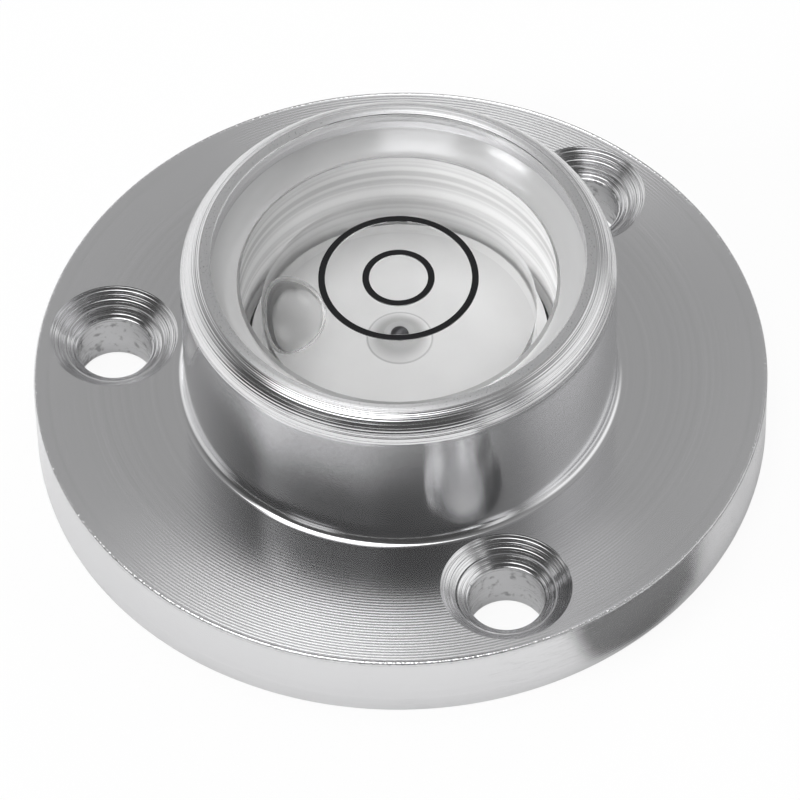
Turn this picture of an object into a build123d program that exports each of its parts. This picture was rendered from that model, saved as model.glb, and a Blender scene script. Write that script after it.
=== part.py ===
from build123d import *
import os
from math import radians, sqrt, tan

# Bullseye level: a clear round vial sealed into a flanged housing that is turned from one bar.
# All sizes are in millimetres. The origin is the centre of the flat underside, +Z is up,
# and one of the three screw holes lies on the -Y side.

# Vial
VIAL_DIAMETER = 26.1
VIAL_WALL = 1.9
VIAL_RECESS = 2.65
VIAL_EDGE_CHAMFER = 0.25
VIAL_FOOT_CHAMFER = 0.5
LENS_EDGE_THICKNESS = 5.95
DOME_RADIUS = 230.0

# Vial base and filler
BASE_THICKNESS = 2.25
BASE_REBATE = 0.95
BASE_CLEARANCE = 0.05
FILLER_BOSS_DIAMETER = 5.3
FILLER_BOSS_TOP_DIAMETER = 2.6
FILLER_BOSS_HEIGHT = 0.9
BALL_DIAMETER = 1.5
SEAL_DIAMETER = 3.4
SEAL_THICKNESS = 0.9
SEAL_TO_BALL = 0.1

# Painted rings in the top of the lens
RING_WIDTH = 0.56
RING_DEPTH = 0.15
OUTER_RING_DIAMETER = 12.4
INNER_RING_DIAMETER = 5.3

# Sealant between vial and mouth
SEALANT_WIDTH = 2.05
SEALANT_CREEP = 0.95
MENISCUS_SAG = 0.3

# Housing, inside
BORE_CLEARANCE = 0.1
BORE_CORNER_CHAMFER = 0.4
FLOOR_THICKNESS = 2.6
MOUTH_DEPTH = 3.5
MOUTH_EDGE_BREAK = 0.1

# Housing, outside
TOTAL_HEIGHT = 20.7
RIM_WALL = 2.55
RIM_LAND_WIDTH = 0.75
CROWN_RADIUS = 2.4
FOOT_CHAMFER = 0.6
FLANGE_THICKNESS = 6.2
EDGE_BREAK = 0.2

# Screw holes, with their distance from the foot of the boss and from the edge of the flange
SCREW_COUNT = 3
SCREW_HOLE_DIAMETER = 6.2
COUNTERSINK_DIAMETER = 10.6
COUNTERSINK_ANGLE = 100.0
STEP_DIAMETER = 8.2
STEP_LEDGE = 0.12
PILOT_CONE_ANGLE = 104.0
SINK_TO_FOOT = 0.3
SINK_TO_EDGE = 0.85

# Air bubble, resting under the dome against the side of the cavity
BUBBLE_LENGTH = 8.0
BUBBLE_HEIGHT = 2.6
BUBBLE_CORNER_BREAK = 0.8
BUBBLE_BEARING = 162.0
BUBBLE_FILM = 0.06
BUBBLE_PRESS = 2.8

# Radii, from the vial outwards
vial_radius = VIAL_DIAMETER / 2
cavity_radius = vial_radius - VIAL_WALL
rebate_radius = cavity_radius + BASE_REBATE
bore_radius = vial_radius + BORE_CLEARANCE
mouth_radius = vial_radius + SEALANT_WIDTH
boss_radius = mouth_radius + RIM_WALL
foot_radius = boss_radius + FOOT_CHAMFER
sink_radius = COUNTERSINK_DIAMETER / 2
screw_circle_radius = foot_radius + SINK_TO_FOOT + sink_radius
flange_radius = screw_circle_radius + sink_radius + SINK_TO_EDGE
ball_radius = BALL_DIAMETER / 2
seal_radius = SEAL_DIAMETER / 2
bubble_radius = BUBBLE_LENGTH / 2

# Heights, from the underside up
base_top = FLOOR_THICKNESS + BASE_THICKNESS
boss_top = base_top + FILLER_BOSS_HEIGHT
foot_z = FLANGE_THICKNESS + FOOT_CHAMFER
shoulder_z = TOTAL_HEIGHT - MOUTH_DEPTH
vial_top = TOTAL_HEIGHT - VIAL_RECESS
dome_edge_z = vial_top - LENS_EDGE_THICKNESS
dome_centre_z = dome_edge_z - sqrt(DOME_RADIUS**2 - cavity_radius**2)

OVERSHOOT = 1.0
ON_ITS_FOOT = (Align.CENTER, Align.CENTER, Align.MIN)


def turned(edges):
    """Revolve a half section, drawn as X = radius and Y = height, about the axis."""
    outline = Curve() + edges
    return revolve(make_face(Plane.XZ * outline), Axis.Z)


def arc_about(centre, start, end):
    """The short arc from start to end round centre."""
    to_start = Vector(start) - Vector(centre)
    to_end = Vector(end) - Vector(centre)
    middle = Vector(centre) + (to_start + to_end).normalized() * to_start.length
    return ThreePointArc(start, middle, end)


def halfway_off(start, end, sag):
    """The point halfway from start to end, moved off their line by sag to its left."""
    along = Vector(end) - Vector(start)
    side = Vector(-along.Y, along.X).normalized()
    middle = Vector(start) + along / 2 + side * sag
    return (middle.X, middle.Y)


def housing_body():
    """Flange, boss and crowned rim, with the mouth and the vial's blind bore."""
    # The crown stops at the land, or where it has become level if that comes first.
    crown_centre = boss_radius - CROWN_RADIUS
    land_radius = max(mouth_radius + RIM_LAND_WIDTH, crown_centre)
    crown_z = TOTAL_HEIGHT - sqrt(CROWN_RADIUS**2 - (land_radius - crown_centre) ** 2)
    outline = [
        Polyline(
            (0, FLOOR_THICKNESS),
            (0, 0),
            (flange_radius - EDGE_BREAK, 0),
            (flange_radius, EDGE_BREAK),
            (flange_radius, FLANGE_THICKNESS - EDGE_BREAK),
            (flange_radius - EDGE_BREAK, FLANGE_THICKNESS),
            (foot_radius, FLANGE_THICKNESS),
            (boss_radius, foot_z),
            (boss_radius, crown_z),
        ),
        arc_about((crown_centre, crown_z), (boss_radius, crown_z), (land_radius, TOTAL_HEIGHT)),
        Polyline(
            (land_radius, TOTAL_HEIGHT),
            (mouth_radius + MOUTH_EDGE_BREAK, TOTAL_HEIGHT),
            (mouth_radius, TOTAL_HEIGHT - MOUTH_EDGE_BREAK),
            (mouth_radius, shoulder_z),
            (bore_radius, shoulder_z),
            (bore_radius, FLOOR_THICKNESS + BORE_CORNER_CHAMFER),
            (bore_radius - BORE_CORNER_CHAMFER, FLOOR_THICKNESS),
            (0, FLOOR_THICKNESS),
        ),
    ]
    return turned(outline)


def screw_hole():
    """The stepped countersink with its pilot cone and through hole, as a solid to cut away."""
    hole_radius = SCREW_HOLE_DIAMETER / 2
    step_radius = STEP_DIAMETER / 2
    ledge_radius = step_radius - STEP_LEDGE
    step_z = FLANGE_THICKNESS - (sink_radius - step_radius) / tan(radians(COUNTERSINK_ANGLE / 2))
    pilot_z = step_z - (ledge_radius - hole_radius) / tan(radians(PILOT_CONE_ANGLE / 2))
    outline = Polyline(
        (0, -OVERSHOOT),
        (hole_radius + EDGE_BREAK, -OVERSHOOT),
        (hole_radius + EDGE_BREAK, 0),
        (hole_radius, EDGE_BREAK),
        (hole_radius, pilot_z),
        (ledge_radius, step_z),
        (step_radius, step_z),
        (sink_radius, FLANGE_THICKNESS),
        (sink_radius, FLANGE_THICKNESS + OVERSHOOT),
        (0, FLANGE_THICKNESS + OVERSHOOT),
        close=True,
    )
    return turned(outline)


def screw_places():
    """Where the screw holes stand on their circle, the first on the -Y side."""
    return PolarLocations(screw_circle_radius, SCREW_COUNT, start_angle=-90)


def ring_fill(diameter):
    """The paint in one ring groove, flush with the top of the lens."""
    middle = diameter / 2
    outline = Polyline(
        (middle - RING_WIDTH / 2, vial_top - RING_DEPTH),
        (middle + RING_WIDTH / 2, vial_top - RING_DEPTH),
        (middle + RING_WIDTH / 2, vial_top),
        (middle - RING_WIDTH / 2, vial_top),
        close=True,
    )
    return turned(outline)


def dome_height(radius):
    """How high the underside of the lens is at a distance from the axis."""
    return dome_centre_z + sqrt(DOME_RADIUS**2 - radius**2)


def domed_space(radius, film=0.0):
    """The space over the base out to a radius, up to the dome less a film of liquid."""
    # The sphere lies on its side, so that its poles are away from the lens.
    column = Pos(0, 0, base_top) * Cylinder(radius, vial_top - base_top, align=ON_ITS_FOOT)
    return column & Pos(0, 0, dome_centre_z - film) * Rot(90, 0, 0) * Sphere(DOME_RADIUS)


def vial_cup_body():
    """Thick lens with a hollow underside, side wall, and a rebate for the base."""
    outline = Polyline(
        (0, FLOOR_THICKNESS),
        (vial_radius - VIAL_FOOT_CHAMFER, FLOOR_THICKNESS),
        (vial_radius, FLOOR_THICKNESS + VIAL_FOOT_CHAMFER),
        (vial_radius, vial_top - VIAL_EDGE_CHAMFER),
        (vial_radius - VIAL_EDGE_CHAMFER, vial_top),
        (0, vial_top),
        close=True,
    )
    rebate = Pos(0, 0, FLOOR_THICKNESS) * Cylinder(rebate_radius, BASE_THICKNESS, align=ON_ITS_FOOT)
    cup = turned(outline) - rebate - domed_space(cavity_radius)
    return cup - ring_fill(OUTER_RING_DIAMETER) - ring_fill(INNER_RING_DIAMETER)


def seal_body():
    """The dab of sealant below the ball: a button in the base's counterbore and a stem in the hole."""
    button_top = FLOOR_THICKNESS + SEAL_THICKNESS
    stem_top = boss_top - ball_radius - SEAL_TO_BALL
    outline = Polyline(
        (0, FLOOR_THICKNESS),
        (seal_radius, FLOOR_THICKNESS),
        (seal_radius, button_top),
        (ball_radius, button_top),
        (ball_radius, stem_top),
        (0, stem_top),
        close=True,
    )
    return turned(outline)


def vial_base_body():
    """The disc that closes the vial, with a sloped filler boss, filler hole and counterbore."""
    button_top = FLOOR_THICKNESS + SEAL_THICKNESS
    disc_radius = rebate_radius - BASE_CLEARANCE
    outline = Polyline(
        (ball_radius, button_top),
        (seal_radius, button_top),
        (seal_radius, FLOOR_THICKNESS),
        (disc_radius, FLOOR_THICKNESS),
        (disc_radius, base_top),
        (FILLER_BOSS_DIAMETER / 2, base_top),
        (FILLER_BOSS_TOP_DIAMETER / 2, boss_top),
        (ball_radius, boss_top),
        close=True,
    )
    return turned(outline)


def filler_ball_body():
    """The steel ball, held by the mouth of the filler hole at its widest."""
    return Pos(0, 0, boss_top) * Sphere(ball_radius)


def bubble_body():
    """A round cake of air with a broken lower edge, pressed flat by the dome above and by the side wall."""
    film_radius = cavity_radius - BUBBLE_FILM
    reach = film_radius + BUBBLE_PRESS - bubble_radius
    top_z = dome_height(film_radius) - BUBBLE_FILM
    cake = Cylinder(bubble_radius, BUBBLE_HEIGHT + OVERSHOOT, align=ON_ITS_FOOT)
    cake = chamfer(cake.edges().group_by(Axis.Z)[0], BUBBLE_CORNER_BREAK)
    placed = Rot(0, 0, BUBBLE_BEARING) * Pos(reach, 0, top_z - BUBBLE_HEIGHT) * cake
    return placed & domed_space(film_radius, BUBBLE_FILM)


def liquid_body():
    """The spirit, filling the cavity round the filler boss, the ball and the bubble."""
    filler_hole = Pos(0, 0, base_top) * Cylinder(ball_radius, FILLER_BOSS_HEIGHT, align=ON_ITS_FOOT)
    filler = vial_base_body() + filler_hole + filler_ball_body()
    return domed_space(cavity_radius) - filler - bubble_body()


def sealant_body():
    """Adhesive on the shoulder, level with the lens at its edge and creeping up the mouth."""
    inner_top = (vial_radius, vial_top - VIAL_EDGE_CHAMFER)
    outer_top = (mouth_radius, vial_top + SEALANT_CREEP)
    hollow = halfway_off(outer_top, inner_top, MENISCUS_SAG)
    outline = Polyline(
        inner_top,
        (vial_radius, shoulder_z),
        (mouth_radius, shoulder_z),
        outer_top,
        hollow,
        close=True,
    )
    return turned(outline)


def housing():
    """The finished housing, with its screw holes cut."""
    holes = [place * screw_hole() for place in screw_places()]
    return housing_body() - holes


PIECES = {
    "housing": housing,
    "sealant_ring": sealant_body,
    "vial_cup": vial_cup_body,
    "outer_ring": lambda: ring_fill(OUTER_RING_DIAMETER),
    "inner_ring": lambda: ring_fill(INNER_RING_DIAMETER),
    "liquid": liquid_body,
    "air_bubble": bubble_body,
    "vial_base": vial_base_body,
    "filler_ball": filler_ball_body,
    "filler_seal": seal_body,
}

os.makedirs("parts", exist_ok=True)
for name, make in PIECES.items():
    export_step(make(), f"parts/{name}.step")
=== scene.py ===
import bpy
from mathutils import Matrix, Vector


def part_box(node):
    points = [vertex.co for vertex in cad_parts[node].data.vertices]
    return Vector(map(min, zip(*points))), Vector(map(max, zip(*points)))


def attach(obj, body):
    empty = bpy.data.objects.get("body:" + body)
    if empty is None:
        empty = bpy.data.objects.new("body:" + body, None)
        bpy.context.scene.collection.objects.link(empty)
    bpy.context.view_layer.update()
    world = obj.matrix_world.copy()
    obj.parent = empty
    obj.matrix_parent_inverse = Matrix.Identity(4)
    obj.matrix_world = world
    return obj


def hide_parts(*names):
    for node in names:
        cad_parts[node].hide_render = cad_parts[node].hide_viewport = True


bl_info = {
    "name": "Bullseye level",
    "version": (1, 0, 0),
    "blender": (4, 5, 0),
    "location": "3D View > Sidebar > Bullseye",
    "description": "Builds a flanged bullseye level: turned housing, sealed vial, rings, bubble and studio",
    "category": "Add Mesh",
}

from math import asin, cos, degrees, pi, radians, sin, sqrt, tan

import bmesh
import bpy
from bpy.props import FloatProperty, FloatVectorProperty, IntProperty, PointerProperty
from mathutils import Matrix, Vector

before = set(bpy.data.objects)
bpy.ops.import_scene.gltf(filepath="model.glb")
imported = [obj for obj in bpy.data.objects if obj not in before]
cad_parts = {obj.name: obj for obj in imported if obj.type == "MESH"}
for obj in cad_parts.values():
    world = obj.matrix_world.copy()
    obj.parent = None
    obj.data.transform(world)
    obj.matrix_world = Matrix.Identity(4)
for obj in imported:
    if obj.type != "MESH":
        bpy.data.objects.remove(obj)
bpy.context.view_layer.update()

MM = 0.001
MICRON = 0.001 * MM
BODY = "root"
# Gap between pieces that touch, how near a bend an extra ring stands so that flats shade flat, and the
# distance below which two points are one
SKIN = 0.01 * MM
HOLD = 0.03 * MM
SAME_PLACE = 0.0001 * MM
# Steps round the axis for the vial, a screw hole and the small filler parts
VIAL_STEPS = 240
HOLE_STEPS = 96
FILLER_STEPS = 64


def top_of(node):
    """Height of a CAD node's highest point."""
    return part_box(node)[1].z


def foot_of(node):
    """Height of a CAD node's lowest point."""
    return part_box(node)[0].z


def radius_of(node):
    """Outer radius of a CAD node that is turned about the axis."""
    low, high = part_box(node)
    return (high.x - low.x + high.y - low.y) / 4


# Sizes that the frame gives
FLANGE_RADIUS = radius_of("housing")
TOTAL_HEIGHT = top_of("housing")
VIAL_RADIUS = radius_of("vial_cup")
VIAL_TOP = top_of("vial_cup")
FLOOR_TOP = foot_of("vial_cup")
BASE_RADIUS = radius_of("vial_base")
BASE_PEAK = top_of("vial_base")
CAVITY_RADIUS = radius_of("liquid")
BASE_TOP = foot_of("liquid")
DOME_TOP = top_of("liquid")
MOUTH_RADIUS = radius_of("sealant_ring")
SHOULDER = foot_of("sealant_ring")
SEALANT_TOP = top_of("sealant_ring")
BALL_RADIUS = radius_of("filler_ball")
SEAL_RADIUS = radius_of("filler_seal")
SEAL_TOP = top_of("filler_seal")


def length(name, description, millimetres):
    """A property for a length, shown in the scene's unit."""
    return FloatProperty(
        name=name, description=description, default=millimetres * MM, unit="LENGTH", precision=5
    )


def angle(name, description, in_degrees):
    """A property for an angle."""
    return FloatProperty(name=name, description=description, default=radians(in_degrees), subtype="ANGLE")


def power(name, description, watts):
    """A property for a lamp's power in watts."""
    return FloatProperty(name=name, description=description, default=watts, min=0, unit="POWER")


def colour(name, description, value):
    """A property for a plain colour."""
    return FloatVectorProperty(
        name=name, description=description, default=value, size=3, subtype="COLOR", min=0, max=1
    )


class HousingSizes(bpy.types.PropertyGroup):
    """Sizes of the turned housing that its outer box does not give"""

    flange_thickness: length("Flange Thickness", "Height of the flange", 6.2)
    boss_radius: length("Boss Radius", "Radius of the upright boss", 17.65)
    crown_radius: length("Crown Radius", "Radius of the rounded rim", 2.4)
    land_width: length("Land Width", "Width of the flat ring inside the crown", 0.75)
    foot_fillet: length("Foot Fillet", "Radius between boss and flange", 0.75)
    edge_break: length("Edge Break", "Rounding of the flange's edges", 0.2)
    mouth_edge: length("Mouth Edge", "Rounding of the mouth's edge", 0.1)
    bore_clearance: length("Bore Clearance", "Gap between vial and bore", 0.1)
    bore_corner: length("Bore Corner", "Chamfer at the bottom of the bore", 0.4)
    segments: IntProperty(name="Segments", description="Steps round the axis", default=360, min=36, max=720)


class HoleSizes(bpy.types.PropertyGroup):
    """Sizes of the three countersunk screw holes"""

    count: IntProperty(name="Count", description="Screw holes in the flange", default=3, min=1, max=12)
    circle_radius: length("Circle Radius", "Radius of the circle the holes stand on", 23.85)
    hole_radius: length("Hole Radius", "Radius of the through hole", 3.1)
    sink_radius: length("Countersink Radius", "Radius of the countersink at the flange", 5.3)
    step_radius: length("Step Radius", "Radius at the foot of the countersink", 4.1)
    step_ledge: length("Step Ledge", "Width of the flat ledge at the step", 0.12)
    sink_angle: angle("Countersink Angle", "Full angle of the countersink", 100)
    pilot_angle: angle("Pilot Angle", "Full angle of the cone below the step", 104)
    bottom_edge: length("Bottom Edge", "Widening of the hole at the underside", 0.2)


class VialSizes(bpy.types.PropertyGroup):
    """Sizes of the clear vial, its rings, base and bubble"""

    rebate_radius: length("Rebate Radius", "Radius of the seat for the base", 12.1)
    edge_chamfer: length("Edge Chamfer", "Chamfer at the lens's rim", 0.25)
    foot_chamfer: length("Foot Chamfer", "Chamfer at the vial's foot", 0.5)
    lens_edge: length("Lens Edge", "Thickness of the lens at the cavity's side", 5.95)
    ring_width: length("Ring Width", "Width of each painted ring", 0.56)
    ring_depth: length("Ring Depth", "Depth of each ring's groove", 0.15)
    filler_foot: length("Filler Foot Radius", "Radius of the filler boss at its foot", 2.65)
    filler_top: length("Filler Top Radius", "Radius of the filler boss at its top", 1.3)
    button_height: length("Button Height", "Height of the sealant's button in the base", 0.9)
    meniscus_sag: length("Meniscus Sag", "How far the clear sealant's surface sinks in", 0.3)
    bubble_radius: length("Bubble Radius", "Half the length of the bubble along the wall", 4.3)
    bubble_width: length("Bubble Width", "Reach of the bubble from the wall", 5.2)
    bubble_height: length("Bubble Height", "Height of the bubble", 2.6)
    bubble_film: length("Bubble Film", "Liquid between the bubble and the wall", 0.06)
    bubble_bearing: angle("Bubble Bearing", "Where the bubble rests, from +X", 162)


class Finishes(bpy.types.PropertyGroup):
    """Colours and tool marks"""

    aluminium: colour("Aluminium", "Colour of the turned metal", (0.82, 0.82, 0.83))
    steel: colour("Steel", "Colour of the filler ball", (0.12, 0.12, 0.125))
    paint: colour("Ring Paint", "Colour of the two rings", (0.012, 0.012, 0.013))
    base: colour("Base", "Colour of the vial's base", (0.88, 0.88, 0.88))
    seal: colour("Seal", "Colour of the sealant under the ball", (0.09, 0.09, 0.09))
    feed: length("Feed", "Distance between the lathe tool's marks", 0.27)
    mark_depth: length("Mark Depth", "Depth of the lathe tool's marks", 0.0034)


# The studio's flat panels: azimuth and elevation in degrees as the camera sees them, from the right round
# by the back, turn in degrees, half width and half height as shares of their distance, soft edge, and level
PANELS = (
    ("overhead screen", 180, 79, -37, 0.30, 0.27, 0.09, 2.4),
    ("middle of the screen", 112, 74, 0, 0.17, 0.15, 0.10, 2.0),
    ("back left wall", 145, 6, 0, 0.85, 0.42, 0.25, 0.62),
    ("right panel", 8, 30, 0, 0.48, 0.26, 0.20, 0.70),
    ("front right strip", 313, 12, 0, 0.10, 0.50, 0.08, 0.70),
    ("right strip", 335, 12, 0, 0.16, 0.40, 0.12, 0.40),
    ("front left card", 230, 15, 0, 0.16, 0.14, 0.08, 0.8),
)
# The soft lamps: place in metres as the camera sees it, size in metres, and the property with its power
LAMPS = (
    ("side lamp", (-0.80, -0.37, 0.47), 0.35, "key_power"),
    ("top lamp", (-0.10, -0.15, 1.00), 0.60, "top_power"),
    ("far lamp", (0.37, 0.80, 0.47), 0.35, "far_power"),
    ("front lamp", (-0.15, -0.60, 0.72), 0.50, "front_power"),
)
# Corners of the dark card, a painted shadow on the floor that only the metal mirrors: azimuth in degrees as
# the camera sees it, and millimetres from the axis.
# The first two lie along the flange, and the edge through the first is the one that fades.
SHADOW_CARD_CORNERS = ((298, 31), (323, 31), (337, 38), (22, 42), (28, 75), (325, 90), (298, 80))


class Studio(bpy.types.PropertyGroup):
    """The floor, the light and the camera's place"""

    floor_colour: colour("Floor", "Colour of the pale floor", (0.72, 0.72, 0.72))
    heading: angle("Heading", "Turn of the view about the axis", -19.82)
    elevation: angle("Elevation", "Height of the camera over the floor", 51.494)
    roll: angle("Roll", "Tilt of the camera", -1.234)
    distance: length("Distance", "From the camera to the middle of the underside", 622.0)
    shift_right: length("Shift Right", "How far the camera stands to the right", -0.09)
    shift_up: length("Shift Up", "How far the camera stands above its line", 1.364)
    focal_length: FloatProperty(
        name="Focal Length", description="Focal length of the lens", default=339.63, unit="CAMERA"
    )
    world_strength: FloatProperty(name="World Strength", description="Level of the soft light", default=1.0)
    key_power: power("Key Power", "Power of the lamp at the side", 6.0)
    top_power: power("Top Power", "Power of the lamp above", 2.6)
    far_power: power("Far Power", "Power of the lamp behind", 2.0)
    front_power: power("Front Power", "Power of the lamp in front", 1.6)


# Nodes


class Graph:
    """A node tree that nodes are added to."""

    def __init__(self, tree):
        self.tree = tree

    def node(self, kind, settings=None, inputs=None, output=None):
        """Add a node, set its settings, then its sockets, and give one of its outputs."""
        made = self.tree.nodes.new(kind)
        for name, value in (settings or {}).items():
            setattr(made, name, value)
        for name, value in (inputs or {}).items():
            socket = find_socket(made.inputs, name)
            if isinstance(value, Wire):
                self.tree.links.new(value.socket, socket)
            else:
                socket.default_value = value
        if not made.outputs:
            return made
        return Wire(self, find_socket(made.outputs, output))

    def input(self, name):
        """One of the tree's own inputs."""
        found = self.tree.nodes.get("Inputs")
        if found is None:
            found = self.tree.nodes.new("NodeGroupInput")
            found.name = "Inputs"
        return Wire(self, found.outputs[name])


def find_socket(sockets, name):
    """The socket with a name or number, among those that are in use, or the first of them."""
    if isinstance(name, int):
        return sockets[name]
    usable = [s for s in sockets if s.enabled and not s.is_unavailable and name in (None, s.name)]
    if not usable:
        raise KeyError(f"no socket named {name} among {[s.name for s in sockets]}")
    return usable[0]


class Wire:
    """A node's output that can stand in a sum: each operator adds its Math node."""

    def __init__(self, graph, socket):
        self.graph = graph
        self.socket = socket

    def math(self, operation, *values):
        return self.graph.node("ShaderNodeMath", {"operation": operation}, dict(enumerate(values)))

    def __add__(self, other):
        return self.math("ADD", self, other)

    def __radd__(self, other):
        return self.math("ADD", other, self)

    def __sub__(self, other):
        return self.math("SUBTRACT", self, other)

    def __rsub__(self, other):
        return self.math("SUBTRACT", other, self)

    def __mul__(self, other):
        return self.math("MULTIPLY", self, other)

    def __rmul__(self, other):
        return self.math("MULTIPLY", other, self)

    def __truediv__(self, other):
        return self.math("DIVIDE", self, other)

    def __mod__(self, other):
        return self.math("MODULO", self, other)

    def floor(self):
        return self.math("FLOOR", self)

    def size(self):
        return self.math("ABSOLUTE", self)

    def sine(self):
        return self.math("SINE", self)

    def cosine(self):
        return self.math("COSINE", self)

    def lesser(self, other):
        return self.math("MINIMUM", self, other)

    def greater(self, other):
        return self.math("MAXIMUM", self, other)

    def below(self, other):
        return self.math("LESS_THAN", self, other)

    def above(self, other):
        return self.math("GREATER_THAN", self, other)

    def ramp(self, low, high, start=0.0, end=1.0):
        """Rises smoothly from start to end as this goes from low to high."""
        return self.graph.node(
            "ShaderNodeMapRange",
            {"interpolation_type": "SMOOTHSTEP"},
            {"Value": self, "From Min": low, "From Max": high, "To Min": start, "To Max": end},
        )

    def part(self, axis):
        """One coordinate of a vector."""
        return self.graph.node("ShaderNodeSeparateXYZ", {}, {0: self}, axis)

    def dot(self, vector):
        return self.graph.node(
            "ShaderNodeVectorMath", {"operation": "DOT_PRODUCT"}, {0: self, 1: vector}, "Value"
        )


# Turned pieces

# How nearly upright a normal is on a face that counts as level
LEVEL_NORMAL = 0.99999


def arc(centre, radius, start, end, steps=12):
    """Points of an arc in the half section; the angles are in degrees, from outwards towards up."""
    turns = [radians(start + (end - start) * i / steps) for i in range(steps + 1)]
    return [(centre[0] + radius * cos(a), centre[1] + radius * sin(a)) for a in turns]


def held(points):
    """The same half section with a point close to each end of its longer runs, so that flats shade flat."""
    kept = [points[0]]
    for start, end in zip(points, points[1:]):
        run = Vector(end) - Vector(start)
        if run.length > 8 * HOLD:
            step = run.normalized() * HOLD
            kept.append(tuple(Vector(start) + step))
            kept.append(tuple(Vector(end) - step))
        kept.append(end)
    return kept


def new_tree(name, inputs):
    """An empty Geometry Nodes tree with named inputs, and the graph to add to."""
    tree = bpy.data.node_groups.new(name, "GeometryNodeTree")
    for label, kind in inputs:
        tree.interface.new_socket(label, in_out="INPUT", socket_type=kind)
    tree.interface.new_socket("Geometry", in_out="OUTPUT", socket_type="NodeSocketGeometry")
    return Graph(tree)


def end_tree(graph, geometry, material, selection=True):
    """Close a tree with Realize Instances and Set Material."""
    real = graph.node("GeometryNodeRealizeInstances", {}, {"Geometry": geometry})
    painted = graph.node(
        "GeometryNodeSetMaterial", {}, {"Geometry": real, "Selection": selection, "Material": material}
    )
    graph.node("NodeGroupOutput", {}, {"Geometry": painted})
    return graph.tree


def lathe_tree():
    """Turns a half section, given as a chain of points, into a closed surface about the axis."""
    graph = new_tree(
        "Lathe",
        [
            ("Half Section", "NodeSocketGeometry"),
            ("Segments", "NodeSocketInt"),
            ("Material", "NodeSocketMaterial"),
        ],
    )
    section = graph.input("Half Section")
    segments = graph.input("Segments")
    count = graph.node("GeometryNodeAttributeDomainSize", {"component": "MESH"}, {"Geometry": section})
    grid = graph.node(
        "GeometryNodeMeshGrid",
        {},
        {"Size X": 1.0, "Size Y": 1.0, "Vertices X": segments + 1, "Vertices Y": count},
    )
    index = graph.node("GeometryNodeInputIndex")
    point = graph.node(
        "GeometryNodeSampleIndex",
        {"data_type": "FLOAT_VECTOR", "domain": "POINT"},
        {"Geometry": section, "Value": graph.node("GeometryNodeInputPosition"), "Index": index % count},
    )
    angle = (index / count).floor() * (2 * pi) / segments
    radius = point.part("X")
    place = graph.node(
        "ShaderNodeCombineXYZ",
        {},
        {"X": radius * angle.cosine(), "Y": radius * angle.sine(), "Z": point.part("Z")},
    )
    turned = graph.node("GeometryNodeSetPosition", {}, {"Geometry": grid, "Position": place})
    closed = graph.node("GeometryNodeMergeByDistance", {}, {"Geometry": turned, "Distance": SAME_PLACE})
    smooth = graph.node("GeometryNodeSetShadeSmooth", {}, {"Geometry": closed})
    return end_tree(graph, smooth, graph.input("Material"))


def screw_hole_tree():
    """Cuts a countersunk hole at even steps round a circle, and gives the holes their own finish."""
    graph = new_tree(
        "Screw Holes",
        [
            ("Body", "NodeSocketGeometry"),
            ("Cutter", "NodeSocketObject"),
            ("Count", "NodeSocketInt"),
            ("Circle Radius", "NodeSocketFloat"),
            ("First Angle", "NodeSocketFloat"),
            ("Finish Radius", "NodeSocketFloat"),
            ("Finish Top", "NodeSocketFloat"),
            ("Material", "NodeSocketMaterial"),
        ],
    )
    circle = graph.node(
        "GeometryNodeMeshCircle",
        {},
        {"Vertices": graph.input("Count"), "Radius": graph.input("Circle Radius")},
    )
    turn = graph.node("ShaderNodeCombineXYZ", {}, {"Z": graph.input("First Angle")})
    places = graph.node("GeometryNodeTransform", {}, {"Geometry": circle, "Rotation": turn})
    cutter = graph.node("GeometryNodeObjectInfo", {}, {"Object": graph.input("Cutter")}, "Geometry")
    holes = graph.node("GeometryNodeInstanceOnPoints", {}, {"Points": places, "Instance": cutter})
    solid = graph.node("GeometryNodeRealizeInstances", {}, {"Geometry": holes})
    cut = graph.node(
        "GeometryNodeMeshBoolean",
        {"operation": "DIFFERENCE", "solver": "EXACT"},
        {"Mesh 1": graph.input("Body"), "Mesh 2": solid},
        "Mesh",
    )
    position = graph.node("GeometryNodeInputPosition")
    flat = graph.node("ShaderNodeCombineXYZ", {}, {"X": position.part("X"), "Y": position.part("Y")})
    near = graph.node(
        "GeometryNodeProximity",
        {"target_element": "POINTS"},
        {0: places, "Sample Position": flat},
        "Distance",
    )
    height = position.part("Z")
    inside = near.below(graph.input("Finish Radius"))
    between = height.below(graph.input("Finish Top")) * height.above(SKIN)
    return end_tree(graph, cut, graph.input("Material"), inside * between)


def finished(name, mesh, replaced):
    """Put a mesh in the scene as a piece that rides on the body and stands for CAD nodes."""
    piece = bpy.data.objects.new(name, mesh)
    bpy.context.scene.collection.objects.link(piece)
    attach(piece, BODY)
    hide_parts(*replaced)
    return piece


def chain_mesh(name, points):
    """A chain of points and edges for a half section."""
    mesh = bpy.data.meshes.new(name)
    edges = [(i, i + 1) for i in range(len(points) - 1)]
    mesh.from_pydata([(r, 0, z) for r, z in points], edges, [])
    return mesh


def set_inputs(modifier, values):
    """Set a modifier's inputs by their socket's identifier."""
    for item in modifier.node_group.interface.items_tree:
        if item.in_out == "INPUT" and item.name in values:
            modifier[item.identifier] = values[item.name]


def evaluated_mesh(source, tree, values):
    """Run a Geometry Nodes tree on a mesh and give the result as a plain mesh."""
    carrier = bpy.data.objects.new(source.name, source)
    bpy.context.scene.collection.objects.link(carrier)
    modifier = carrier.modifiers.new(tree.name, "NODES")
    modifier.node_group = tree
    set_inputs(modifier, values)
    depsgraph = bpy.context.evaluated_depsgraph_get()
    result = bpy.data.meshes.new_from_object(carrier.evaluated_get(depsgraph))
    bpy.data.objects.remove(carrier)
    drop_empty_slots(result)
    return result


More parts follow.
